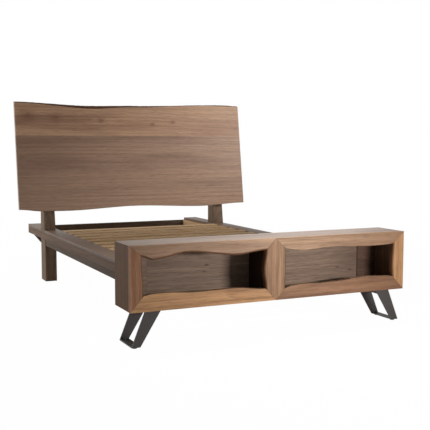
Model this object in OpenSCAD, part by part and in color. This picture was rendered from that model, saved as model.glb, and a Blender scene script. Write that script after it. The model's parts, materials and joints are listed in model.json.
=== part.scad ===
// Live-edge platform bed frame with a footboard bench.
// X runs across the bed, Y runs from the foot to the head and Z points up.
// The origin lies on the floor, below the middle of the whole bed.

/* [Footboard bench] */
// Width of the bench
bench_w = 1820; // [1700:10:1900]
// Depth of the bench from front to back
bench_d = 262; // [230:2:340]
// Height of the bench box
bench_h = 365; // [340:5:430]
// Height of the bench's underside above the floor
bench_lift = 207; // [180:1:240]
// Thickness of the top, bottom and end panels
panel_t = 38; // [30:1:44]
// Thickness of the back boards
back_t = 20; // [12:1:26]
// Width of the upright back board that each side rail is fixed to
mount_board_w = 148; // [130:2:200]
// Thickness of each upright divider behind the centre stile
divider_t = 25; // [16:1:28]
// Distance between the outer faces of the two dividers
divider_span = 108; // [80:2:116]

/* [Front frame] */
// Thickness of the front frame's boards
frame_t = 32; // [24:1:40]
// Width of the end stiles
stile_w = 77; // [68:1:90]
// Width of the centre stile
centre_stile_w = 132; // [124:2:160]
// Sideways place of the centre stile from the middle of the bench
centre_stile_x = -12; // [-40:1:40]
// Height of the top rails
top_rail_w = 66; // [56:1:80]
// Height of the bottom rails
bottom_rail_w = 78; // [64:1:90]

/* [Side rails] */
// Distance from the bench's end to the outer face of the side rail
rail_inset = 105; // [80:5:130]
// Height of the ledge's top face above the floor
rail_top = 417; // [400:1:440]
// Width of the ledge board
ledge_w = 122; // [112:1:134]
// Thickness of the ledge boards, and of the slats that lie level with them
ledge_t = 20; // [16:1:26]
// Thickness of the rail's outer board
fascia_t = 28; // [22:1:34]
// Height of the rail's outer board below the ledge
fascia_h = 56; // [50:1:66]
// Thickness of the rail's lower board
lower_t = 24; // [18:1:28]
// Height of the rail's lower board
lower_h = 48; // [30:1:54]
// Distance from the bench's back to the front of the posts
bed_l = 2129; // [1950:10:2200]
// Length of the rails behind the posts
tail_l = 484; // [350:10:600]

/* [Slat support] */
// Width of the slat bearers and of the centre beam
bearer_w = 60; // [50:1:66]
// Height of the slat bearers and of the centre beam
bearer_h = 60; // [54:1:70]
// Width of each slat
slat_w = 100; // [80:1:120]
// Side of the square centre legs
centre_leg_w = 60; // [45:1:70]
// Thickness of the cross rails at the head and at the tail
cross_t = 40; // [28:1:50]
// Height of the head cross rail
head_cross_h = 60; // [50:1:80]
// Height of the tail cross rail
tail_cross_h = 152; // [120:1:160]
// Slope of the tail cross rail's cut ends, in degrees from level
tail_slope = 50; // [40:1:60]

/* [Headboard and posts] */
// Width of a post, across the bed
post_w = 91; // [86:1:100]
// Depth of a post, along the bed
post_d = 149; // [140:1:170]
// Height of the posts
post_h = 1150; // [1120:10:1190]
// Angle that the headboard leans back by
lean = 8.5; // [6:0.5:9]
// Width of the headboard
head_w = 2010; // [1850:10:2100]
// Height of the headboard's lower edge above the floor
head_lift = 588; // [570:1:630]
// Thickness of the headboard
head_t = 36; // [28:1:45]
// Width of the lower and of the middle headboard board, up the slab
board_w = 300; // [290:5:320]
// Mean width of the top headboard board, up the slab
top_board_w = 265; // [240:5:300]
// Width of the battens behind the headboard
batten_w = 90; // [60:2:120]
// Thickness of the battens
batten_t = 22; // [16:1:30]
// Distance of each batten's middle from the middle of the headboard
batten_x = 345; // [200:5:500]

/* [Steel legs] */
// Width of a leg bar at the bench
leg_top_w = 94; // [84:1:110]
// Width of a leg bar at the floor
leg_foot_w = 51; // [46:1:60]
// Distance from the bench's end to the leg, at the bench
leg_top_x = 95; // [70:1:120]
// Distance from the bench's end to the leg, at the floor
leg_foot_x = 15; // [5:1:40]
// Distance from the bench's front and back to the leg bars
leg_setback = 26; // [15:1:40]
// Thickness of a leg bar
leg_bar_t = 8; // [6:1:12]
// Thickness of the leg's mounting plate
leg_plate_t = 5; // [4:1:8]
// Height of the strap that ties a leg's bars together under the plate
leg_strap_h = 22; // [12:1:30]
// Thickness of the leg's foot bar
foot_bar_t = 6; // [5:1:8]

/* [Fasteners and glides] */
// Radius of a bench glide's pad
pad_r = 14; // [11:0.5:16]
// Height of a bench glide's pad
pad_h = 7; // [5:0.5:14]
// Radius of a glide's threaded stem
stem_r = 4; // [3:0.5:5]
// Clearance round a glide's stem and above its pad
glide_gap = 0.3; // [0.2:0.1:0.6]
// Distance that a glide can be wound down
glide_travel = 8; // [4:1:10]
// Radius of a frame bolt's shank
bolt_r = 4; // [3:0.5:5]
// Radius of a leg bolt's shank
leg_bolt_r = 3; // [2:0.5:4]
// Radius of a slat screw's shank
screw_r = 2; // [1.5:0.25:2.5]
// Thickness of the steel brackets and hangers
bracket_t = 3; // [2:0.5:4]

/* [Hidden] */
$fn = 32;

walnut = [0.44, 0.31, 0.22];
honey = [0.62, 0.45, 0.30];
shade = [0.34, 0.25, 0.19];
barn = [0.45, 0.37, 0.31];
pine = [0.78, 0.64, 0.45];
gunmetal = [0.22, 0.20, 0.20];
zinc = [0.70, 0.70, 0.72];
rubber = [0.06, 0.06, 0.06];

// Main planes, counted from the bench's front and from the floor.
half_w = bench_w / 2;
bed_y = bench_d + bed_l;
post_back = bed_y + post_d;
tail_y = post_back + tail_l;
foot_y = -tail_y / 2;
bench_top_z = bench_lift + bench_h;
slat_z = rail_top - ledge_t;
fascia_z = slat_z - fascia_h;
lower_z = fascia_z - lower_h;
bearer_z = slat_z - bearer_h;

// Faces of the side rail, counted from the middle of the bed.
rail_x = half_w - rail_inset;
fascia_x = rail_x - fascia_t;
post_x = rail_x - post_w;
bearer_x = post_x - bearer_w;
ledge_x = rail_x - ledge_w;

// Room inside the bench box.
box_x = half_w - panel_t;
box_z = bench_lift + panel_t;
box_top_z = bench_top_z - panel_t;
back_y = bench_d - back_t;

// Cross rails, beam and slats.
cross_y = bed_y + (post_d - cross_t) / 2;
tail_cross_z = slat_z - tail_cross_h;
tail_cut = (fascia_z - tail_cross_z) / tan(tail_slope);
slat_n = 12;
slat_pitch = bed_l / slat_n;
slat_gap = 1;
centre_leg_y = [bench_d + 4 * slat_pitch, bench_d + 8 * slat_pitch];

// The posts' front and the headboard's back share one leaning plane.
head_y = bed_y + (head_lift - lower_z) * tan(lean);
slab_seam = 2 * board_w;
slab_top = slab_seam + top_board_w;
batten_end = 60;

leg_plate_z = bench_lift - leg_plate_t;

// Glides: the foot bar rides just above the pads, with a welded nut on top.
foot_bar_z = pad_h + glide_gap;
// Strap on edge under the plate, as far in as the bars' inner edges allow.
strap_z = leg_plate_z - leg_strap_h;
strap_x = leg_edge(half_w - leg_foot_x - leg_foot_w, half_w - leg_top_x - leg_top_w, strap_z);
glide_x = half_w - leg_foot_x - leg_foot_w / 2;
bar_back = leg_setback + leg_bar_t;
glide_inset = 16;
glide_y = [bar_back + glide_inset, bench_d - bar_back - glide_inset];
nut_wall = 3.5;
nut_r = stem_r + nut_wall;
nut_h = 6;
stem_spare = 2;
stem_top = foot_bar_z + foot_bar_t + nut_h + glide_travel + stem_spare;
centre_pad_r = 19;
centre_pad_h = 8;
centre_stem_l = 32;
centre_bore_l = centre_stem_l + 2 * stem_spare;
pad_edge = 2;

// Bolts and screws. A shank starts this far inside its head, so its bore opens through the face.
bore_over = 1;
head_spread = 1.8;
head_rise = 1.3;
post_bolt_x = (post_x + rail_x) / 2;
post_bolt_edge = 60;
board_rise = board_w * cos(lean);
post_bolt_z = [
    head_lift + post_bolt_edge, head_lift + board_rise - post_bolt_edge,
    head_lift + board_rise + post_bolt_edge, post_h - post_bolt_edge
];
post_bolt_bite = 20;
bearer_bolt_edge = 40;
bearer_bolt_y = [bed_y + bearer_bolt_edge, post_back - bearer_bolt_edge];
bearer_bolt_z = bearer_z + bearer_h / 2;
bearer_bolt_bite = 42;
leg_bolt_edge = 22;
leg_bolt_room = 12;
leg_bolt_x = [half_w - leg_top_x - leg_bolt_edge, strap_x + leg_plate_t + leg_bolt_room];
leg_bolt_inset = 32;
leg_bolt_y = [bar_back + leg_bolt_inset, bench_d - bar_back - leg_bolt_inset];
leg_bolt_bite = 23;
screw_head_r = 2 * screw_r;
screw_head_h = 1.5 * screw_r;
screw_bite = 24;
screw_x = (ledge_x - slat_gap + bearer_x) / 2;

// Steel brackets and hangers.
bracket_w = 28;
bracket_margin = 4;
bracket_h = fascia_h - 2 * bracket_margin;
flange_w = 18;
hanger_l = 50;
hanger_h = 50;
foot_bevel = 4;

// Live edges: [share of the length, rise above the straight line] of each crest and hollow.
left_top_wave = [[0, 0], [0.08, 21], [0.36, -12], [0.76, 18], [1, 0]];
left_bottom_wave = [[0, 0], [0.26, 14], [0.62, 5], [0.82, 11], [0.93, 9], [1, 0]];
right_top_wave = [[0, 0], [0.08, 10], [0.17, 14], [0.43, 3], [0.79, 9], [0.94, 6], [1, 0]];
right_bottom_wave = [[0, 0], [0.06, 6], [0.26, 15], [0.68, 4], [0.84, 12], [0.94, 9], [1, 0]];
left_stile_wave = [[0, 0], [0.3, 3], [0.7, -2], [1, 0]];
right_stile_wave = [[0, 0], [0.65, 6], [1, 0]];
centre_left_wave = [[0, 0], [0.5, 13], [1, 0]];
centre_right_wave = [[0, 0], [0.5, 2], [1, 0]];
head_top_wave = [[0, 15], [0.31, -8], [0.5, 0], [0.93, 23], [1, 18]];
head_bottom_wave = [[0, 0], [0.1, -18], [0.2, -20], [0.5, 4], [0.8, -16], [1, 2]];
edge_steps = 40;
head_steps = 60;

// Corners of the front frame, as [x, height above the bench's underside].
top_left = [-half_w, bench_h];
top_middle = [centre_stile_x, bench_h];
top_right = [half_w, bench_h];
bottom_left = [-half_w, 0];
bottom_middle = [centre_stile_x, 0];
bottom_right = [half_w, 0];
// Inner corners of the two openings, where the natural boards meet at their mitres.
stile_left = centre_stile_x - centre_stile_w / 2;
stile_right = centre_stile_x + centre_stile_w / 2;
stile_inner = half_w - stile_w;
rail_under = bench_h - top_rail_w;
// How far those corners stray from where straight boards would cross, as [sideways, up].
stray_1 = [[-7, 4], [0, -1], [0, -6], [1, 10]];
stray_2 = [[0, 4], [-2, -5], [-4, 6], [0, -10]];
opening_1_tl = [-stile_inner, rail_under] + stray_1[0];
opening_1_tr = [stile_left, rail_under] + stray_1[1];
opening_1_br = [stile_left, bottom_rail_w] + stray_1[2];
opening_1_bl = [-stile_inner, bottom_rail_w] + stray_1[3];
opening_2_tl = [stile_right, rail_under] + stray_2[0];
opening_2_tr = [stile_inner, rail_under] + stray_2[1];
opening_2_br = [stile_inner, bottom_rail_w] + stray_2[2];
opening_2_bl = [stile_right, bottom_rail_w] + stray_2[3];

// Height of a natural edge at share f, easing from one crest or hollow to the next.
function ease(t) = t * t * (3 - 2 * t);
function wave(knots, f, i = 0) =
    i < len(knots) - 2 && f > knots[i + 1][0]
        ? wave(knots, f, i + 1)
        : let (a = knots[i], b = knots[i + 1])
          a[1] + (b[1] - a[1]) * ease((f - a[0]) / (b[0] - a[0]));

// Live edge from inner corner a to inner corner b, with the opening on its right.
function live_edge(a, b, knots) =
    let (
        along = (b - a) / norm(b - a),
        into = [along[1], -along[0]]
    )
    [for (i = [0:edge_steps]) a + (b - a) * i / edge_steps + into * wave(knots, i / edge_steps)];

// Live edge across the headboard, at mean height z up the slab.
function head_edge(z, knots) =
    [for (i = [0:head_steps]) [head_w * (i / head_steps - 0.5), z + wave(knots, i / head_steps)]];

// Depth of the post's leaning front face at height z.
function post_front(z) = bed_y + max(0, z - lower_z) * tan(lean);

// Leg bar's edge at height z, between its place at the foot and at the bench.
function leg_edge(foot, top, z) = foot + (top - foot) * (z - foot_bar_z) / (bench_lift - foot_bar_z);

// Box between two planes along each axis, with y counted from the bench's front.
module block(x, y, z) {
    translate([x[0], foot_y + y[0], z[0]])
        cube([x[1] - x[0], y[1] - y[0], z[1] - z[0]]);
}

// Outline of [x, z] points, extruded along the bed.
module along_y(y) {
    translate([0, foot_y + y[1], 0])
        rotate([90, 0, 0])
            linear_extrude(y[1] - y[0])
                children();
}

// Outline of [y, z] points, extruded across the bed.
module along_x(x) {
    translate([x[0], foot_y, 0])
        rotate([90, 0, 90])
            linear_extrude(x[1] - x[0])
                children();
}

// Round bars that point up, along the bed or across it, from a starting point.
module rod_z(p, r, l) {
    translate([p[0], foot_y + p[1], p[2]])
        cylinder(r = r, h = l);
}

module rod_y(p, r, l) {
    translate([p[0], foot_y + p[1], p[2]])
        rotate([-90, 0, 0])
            cylinder(r = r, h = l);
}

module rod_x(p, r, l) {
    translate([p[0], foot_y + p[1], p[2]])
        rotate([0, 90, 0])
            cylinder(r = r, h = l);
}

// Everything on the left is the mirror image of the right.
module left() {
    mirror([1, 0, 0])
        children();
}

// Headboard

module on_lean() {
    translate([0, foot_y + head_y, head_lift])
        rotate([-lean, 0, 0])
            children();
}

// Headboard board with this [x, z] outline, where z runs up the slab.
module slab_board(outline) {
    on_lean()
        rotate([90, 0, 0])
            linear_extrude(head_t)
                polygon(outline);
}

module headboard_top_board() {
    color(walnut)
        difference() {
            slab_board(concat(
                head_edge(slab_top, head_top_wave), [[head_w / 2, slab_seam], [-head_w / 2, slab_seam]]
            ));
            post_bolt_shanks();
        }
}

module headboard_middle_board() {
    color(walnut)
        difference() {
            slab_board([
                [-head_w / 2, board_w], [head_w / 2, board_w],
                [head_w / 2, slab_seam], [-head_w / 2, slab_seam]
            ]);
            post_bolt_shanks();
        }
}

module headboard_bottom_board() {
    color(walnut)
        difference() {
            slab_board(concat(
                head_edge(0, head_bottom_wave), [[head_w / 2, board_w], [-head_w / 2, board_w]]
            ));
            post_bolt_shanks();
        }
}

module headboard_battens() {
    color(walnut)
        on_lean()
            for (x = [-batten_x, batten_x])
                translate([x - batten_w / 2, 0, batten_end])
                    cube([batten_w, batten_t, slab_top - 2 * batten_end]);
}

module post_bolt_shanks() {
    for (x = [-post_bolt_x, post_bolt_x], z = post_bolt_z) {
        tip = post_front(z) - post_bolt_bite;
        rod_y([x, tip, z], bolt_r, post_back + bore_over - tip);
    }
}

module headboard_bolts() {
    color(zinc) {
        post_bolt_shanks();
        for (x = [-post_bolt_x, post_bolt_x], z = post_bolt_z)
            rod_y([x, post_back, z], head_spread * bolt_r, head_rise * bolt_r, $fn = 6);
    }
}

// Posts and cross rails

module post_outline() {
    polygon([
        [bed_y + foot_bevel, 0], [post_back - foot_bevel, 0], [post_back, foot_bevel],
        [post_back, post_h], [post_front(post_h), post_h], [bed_y, lower_z], [bed_y, foot_bevel]
    ]);
}

module right_post() {
    color(walnut)
        difference() {
            along_x([post_x, rail_x])
                post_outline();
            block([fascia_x, rail_x + bore_over], [bench_d, tail_y], [fascia_z, slat_z]);
            post_bolt_shanks();
            bearer_bolt_shanks();
        }
}

module left_post() {
    left()
        right_post();
}

module head_cross_rail() {
    color(pine)
        block([-post_x, post_x], [cross_y, cross_y + cross_t], [bearer_z - head_cross_h, bearer_z]);
}

module tail_cross_rail() {
    half = [
        [fascia_x, slat_z], [fascia_x, fascia_z], [fascia_x - tail_cut, tail_cross_z]
    ];
    other = [for (i = [2:-1:0]) [-half[i][0], half[i][1]]];
    color(shade)
        along_y([tail_y - cross_t, tail_y])
            polygon(concat(half, other));
}

// Side rails

module right_rail_fascia() {
    color(walnut)
        block([fascia_x, rail_x], [bench_d, tail_y], [fascia_z, slat_z]);
}

module left_rail_fascia() {
    left()
        right_rail_fascia();
}

module right_rail_lower_board() {
    color(shade)
        difference() {
            block([fascia_x, fascia_x + lower_t], [bench_d, bed_y + post_d / 2], [lower_z, fascia_z]);
            along_x([post_x, rail_x])
                post_outline();
        }
}

module left_rail_lower_board() {
    left()
        right_rail_lower_board();
}

module right_ledge_board() {
    color(walnut)
        difference() {
            block([ledge_x, rail_x], [bench_d, tail_y], [slat_z, rail_top]);
            along_x([post_x, rail_x + bore_over])
                post_outline();
        }
}

module left_ledge_board() {
    left()
        right_ledge_board();
}

// Slat bearers, beam and slats

module slat_screw_places() {
    for (i = [0:slat_n - 1], x = [-screw_x, 0, screw_x])
        translate([x, foot_y + bench_d + slat_pitch * (i + 0.5), 0])
            children();
}

module slat_screw(over = 0) {
    translate([0, 0, slat_z - screw_bite])
        cylinder(r = screw_r, h = screw_bite + ledge_t - screw_head_h);
    translate([0, 0, rail_top - screw_head_h])
        cylinder(r1 = screw_r, r2 = screw_head_r, h = screw_head_h);
    if (over > 0)
        translate([0, 0, rail_top])
            cylinder(r = screw_head_r, h = over);
}

module slat_screws() {
    color(zinc)
        slat_screw_places()
            slat_screw();
}

module right_slat_bearer() {
    color(pine)
        difference() {
            block([bearer_x, post_x], [bench_d, tail_y - cross_t], [bearer_z, slat_z]);
            slat_screw_places()
                slat_screw(bore_over);
            bearer_bolt_shanks();
        }
}

module left_slat_bearer() {
    left()
        right_slat_bearer();
}

module bearer_bolt_shanks() {
    for (y = bearer_bolt_y)
        rod_x([bearer_x - bore_over, y, bearer_bolt_z], bolt_r, bore_over + bearer_w + bearer_bolt_bite);
}

module bearer_bolts() {
    color(zinc)
        for (side = [0, 1])
            mirror([side, 0, 0]) {
                bearer_bolt_shanks();
                for (y = bearer_bolt_y)
                    rod_x([bearer_x - head_rise * bolt_r, y, bearer_bolt_z],
                          head_spread * bolt_r, head_rise * bolt_r, $fn = 6);
            }
}

module centre_beam() {
    color(pine)
        difference() {
            block([-bearer_w / 2, bearer_w / 2], [bench_d, cross_y + cross_t], [bearer_z, slat_z]);
            slat_screw_places()
                slat_screw(bore_over);
        }
}

module centre_legs() {
    foot_z = centre_pad_h + glide_gap;
    color(pine)
        for (y = centre_leg_y)
            difference() {
                block(
                    [-centre_leg_w / 2, centre_leg_w / 2],
                    [y - centre_leg_w / 2, y + centre_leg_w / 2],
                    [foot_z, bearer_z]
                );
                rod_z([0, y, foot_z - bore_over], stem_r + glide_gap, bore_over + centre_bore_l);
            }
}

module slat(i) {
    middle = bench_d + slat_pitch * (i - 0.5);
    color(pine)
        difference() {
            block(
                [slat_gap - ledge_x, ledge_x - slat_gap],
                [middle - slat_w / 2, middle + slat_w / 2],
                [slat_z, rail_top]
            );
            slat_screw_places()
                slat_screw(bore_over);
        }
}

// Steel brackets

module rail_bracket(y, way) {
    z = [fascia_z + bracket_margin, fascia_z + bracket_margin + bracket_h];
    block([fascia_x - bracket_t, fascia_x], [min(y, y + way * bracket_w), max(y, y + way * bracket_w)], z);
    block([fascia_x - bracket_w, fascia_x], [min(y, y + way * bracket_t), max(y, y + way * bracket_t)], z);
}

module rail_brackets() {
    color(gunmetal)
        for (side = [0, 1])
            mirror([side, 0, 0]) {
                rail_bracket(bench_d, 1);
                rail_bracket(tail_y - cross_t, -1);
            }
}

module beam_hanger(x) {
    inner = bearer_w / 2;
    outer = inner + bracket_t;
    y = [bench_d, bench_d + hanger_l];
    z = [bearer_z - bracket_t, bearer_z - bracket_t + hanger_h];
    block([x - outer, x + outer], y, [bearer_z - bracket_t, bearer_z]);
    for (side = [-1, 1]) {
        block([x + side * (inner + bracket_t / 2) - bracket_t / 2,
               x + side * (inner + bracket_t / 2) + bracket_t / 2], y, z);
        block([x + side * (outer + flange_w / 2) - flange_w / 2,
               x + side * (outer + flange_w / 2) + flange_w / 2], [bench_d, bench_d + bracket_t], z);
    }
}

module beam_hangers() {
    bearer_middle = bearer_x + bearer_w / 2;
    color(gunmetal)
        for (x = [-bearer_middle, 0, bearer_middle])
            beam_hanger(x);
}

// Bench box

module bench_top() {
    color(walnut)
        along_y([frame_t, bench_d])
            polygon([
                [-half_w, bench_top_z], [-box_x, box_top_z], [box_x, box_top_z], [half_w, bench_top_z]
            ]);
}

module bench_bottom() {
    color(walnut)
        difference() {
            along_y([frame_t, bench_d])
                polygon([[-half_w, bench_lift], [half_w, bench_lift], [box_x, box_z], [-box_x, box_z]]);
            leg_bolt_shanks();
        }
}

module bench_right_end() {
    color(shade)
        along_y([frame_t, bench_d])
            polygon([[half_w, bench_lift], [half_w, bench_top_z], [box_x, box_top_z], [box_x, box_z]]);
}

module bench_left_end() {
    left()
        bench_right_end();
}

module left_divider() {
    x = centre_stile_x - divider_span / 2;
    color(shade)
        block([x, x + divider_t], [frame_t, back_y], [box_z, box_top_z]);
}

module right_divider() {
    x = centre_stile_x + divider_span / 2;
    color(shade)
        block([x - divider_t, x], [frame_t, back_y], [box_z, box_top_z]);
}

module bench_back_panel() {
    x = box_x - mount_board_w;
    color(barn)
        block([-x, x], [back_y, bench_d], [box_z, box_top_z]);
}

module right_back_board() {
    color(barn)
        block([box_x - mount_board_w, box_x], [back_y, bench_d], [box_z, box_top_z]);
}

module left_back_board() {
    left()
        right_back_board();
}

// Front frame, of mitred live-edge boards

// Board with this outline of [x, height above the bench's underside].
module frame_board(outline) {
    color(honey)
        along_y([0, frame_t])
            translate([0, bench_lift])
                polygon(outline);
}

module left_stile() {
    frame_board(concat(
        live_edge(opening_1_bl, opening_1_tl, left_stile_wave), [top_left, bottom_left]
    ));
}

module right_stile() {
    frame_board(concat(
        live_edge(opening_2_tr, opening_2_br, right_stile_wave), [bottom_right, top_right]
    ));
}

module centre_stile() {
    frame_board(concat(
        live_edge(opening_2_bl, opening_2_tl, centre_right_wave), [top_middle],
        live_edge(opening_1_tr, opening_1_br, centre_left_wave), [bottom_middle]
    ));
}

module left_top_rail() {
    frame_board(concat(
        live_edge(opening_1_tl, opening_1_tr, left_top_wave), [top_middle, top_left]
    ));
}

module right_top_rail() {
    frame_board(concat(
        live_edge(opening_2_tl, opening_2_tr, right_top_wave), [top_right, top_middle]
    ));
}

module left_bottom_rail() {
    frame_board(concat(
        live_edge(opening_1_br, opening_1_bl, left_bottom_wave), [bottom_left, bottom_middle]
    ));
}

module right_bottom_rail() {
    frame_board(concat(
        live_edge(opening_2_br, opening_2_bl, right_bottom_wave), [bottom_middle, bottom_right]
    ));
}

// Steel legs

module leg_bolt_shanks() {
    for (x = leg_bolt_x, y = leg_bolt_y, side = [-1, 1])
        rod_z([side * x, y, leg_plate_z - bore_over], leg_bolt_r, bore_over + leg_plate_t + leg_bolt_bite);
}

module leg_bolts() {
    color(zinc) {
        leg_bolt_shanks();
        for (x = leg_bolt_x, y = leg_bolt_y, side = [-1, 1])
            rod_z([side * x, y, leg_plate_z - head_rise * leg_bolt_r],
                  head_spread * leg_bolt_r, head_rise * leg_bolt_r, $fn = 6);
    }
}

// Slice of a leg bar's outline between two heights.
module leg_slice(z) {
    foot = half_w - leg_foot_x;
    top = half_w - leg_top_x;
    inner = [for (h = z) [leg_edge(foot - leg_foot_w, top - leg_top_w, h), h]];
    outer = [for (h = z) [leg_edge(foot, top, h), h]];
    polygon([inner[0], outer[0], outer[1], inner[1]]);
}

module right_steel_leg() {
    bars = [leg_setback, bench_d - bar_back];
    plate_x = half_w - leg_top_x;
    color(gunmetal)
        difference() {
            union() {
                for (y = bars)
                    along_y([y, y + leg_bar_t])
                        leg_slice([foot_bar_z, leg_plate_z]);
                along_y([bars[0], bars[1] + leg_bar_t])
                    leg_slice([foot_bar_z, foot_bar_z + foot_bar_t]);
                block([plate_x - leg_top_w, plate_x],
                      [bars[0], bars[1] + leg_bar_t],
                      [leg_plate_z, bench_lift]);
                block([strap_x, strap_x + leg_plate_t],
                      [bars[0], bars[1] + leg_bar_t],
                      [strap_z, leg_plate_z]);
                for (y = glide_y)
                    rod_z([glide_x, y, foot_bar_z + foot_bar_t], nut_r, nut_h, $fn = 6);
            }
            for (y = glide_y)
                rod_z([glide_x, y, 0], stem_r + glide_gap, bench_lift / 2);
            leg_bolt_shanks();
        }
}

module left_steel_leg() {
    left()
        right_steel_leg();
}

// Threaded glides

module glide(p, r, h, top) {
    color(rubber)
        translate([p[0], foot_y + p[1], 0])
            rotate_extrude()
                polygon([
                    [0, 0], [r - pad_edge, 0], [r, pad_edge], [r, h], [stem_r, h], [stem_r, top], [0, top]
                ]);
}

module bench_glide(side, y) {
    glide([side * glide_x, y], pad_r, pad_h, stem_top);
}

module centre_glide(y) {
    glide([0, y], centre_pad_r, centre_pad_h, centre_pad_h + centre_stem_l);
}

headboard_top_board();
headboard_middle_board();
headboard_bottom_board();
headboard_battens();
headboard_bolts();
left_post();
right_post();
head_cross_rail();
tail_cross_rail();
left_rail_fascia();
right_rail_fascia();
left_rail_lower_board();
right_rail_lower_board();
left_ledge_board();
right_ledge_board();
left_slat_bearer();
right_slat_bearer();
bearer_bolts();
rail_brackets();
centre_beam();
beam_hangers();
centre_legs();
slat(1);  // slat_01
slat(2);  // slat_02
slat(3);  // slat_03
slat(4);  // slat_04
slat(5);  // slat_05
slat(6);  // slat_06
slat(7);  // slat_07
slat(8);  // slat_08
slat(9);  // slat_09
slat(10);  // slat_10
slat(11);  // slat_11
slat(12);  // slat_12
slat_screws();
bench_top();
bench_bottom();
bench_left_end();
bench_right_end();
left_divider();
right_divider();
bench_back_panel();
left_back_board();
right_back_board();
left_stile();
centre_stile();
right_stile();
left_top_rail();
right_top_rail();
left_bottom_rail();
right_bottom_rail();
left_steel_leg();
right_steel_leg();
leg_bolts();
bench_glide(-1, glide_y[0]);  // left_front_glide
bench_glide(-1, glide_y[1]);  // left_rear_glide
bench_glide(1, glide_y[0]);  // right_front_glide
bench_glide(1, glide_y[1]);  // right_rear_glide
centre_glide(centre_leg_y[0]);  // front_centre_glide
centre_glide(centre_leg_y[1]);  // rear_centre_glide
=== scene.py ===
"""Finishes, surfaces and studio for the live-edge platform bed frame, built round its packed construction."""

import json
import logging
import math
from dataclasses import dataclass, field, replace
from enum import Enum

import bmesh
import bpy
from mathutils import Matrix, Vector, noise


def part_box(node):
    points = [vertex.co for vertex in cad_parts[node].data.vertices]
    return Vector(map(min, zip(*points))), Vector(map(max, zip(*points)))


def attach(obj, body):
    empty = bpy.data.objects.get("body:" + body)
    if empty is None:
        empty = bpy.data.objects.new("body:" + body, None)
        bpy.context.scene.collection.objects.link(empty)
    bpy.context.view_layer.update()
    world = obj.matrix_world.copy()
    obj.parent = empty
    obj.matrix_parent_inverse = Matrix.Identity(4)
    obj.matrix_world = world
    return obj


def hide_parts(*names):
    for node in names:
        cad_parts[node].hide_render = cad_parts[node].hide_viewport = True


LOG = logging.getLogger("bed_frame")
MILLI = 0.001

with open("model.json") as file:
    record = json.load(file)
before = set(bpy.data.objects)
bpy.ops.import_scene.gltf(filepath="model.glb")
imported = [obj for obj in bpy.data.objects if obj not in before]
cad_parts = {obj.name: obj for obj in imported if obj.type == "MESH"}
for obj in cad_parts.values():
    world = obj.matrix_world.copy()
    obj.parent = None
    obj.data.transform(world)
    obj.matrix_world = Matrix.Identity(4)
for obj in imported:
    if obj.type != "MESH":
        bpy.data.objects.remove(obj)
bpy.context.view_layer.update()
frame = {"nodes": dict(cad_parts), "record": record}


class Grain(Enum):
    """The way a board's grain runs."""

    ACROSS = "X"
    ALONG = "Y"
    UPRIGHT = "Z"


# ---------------------------------------------------------------------------------------------------------
# Shader building
# ---------------------------------------------------------------------------------------------------------


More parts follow.
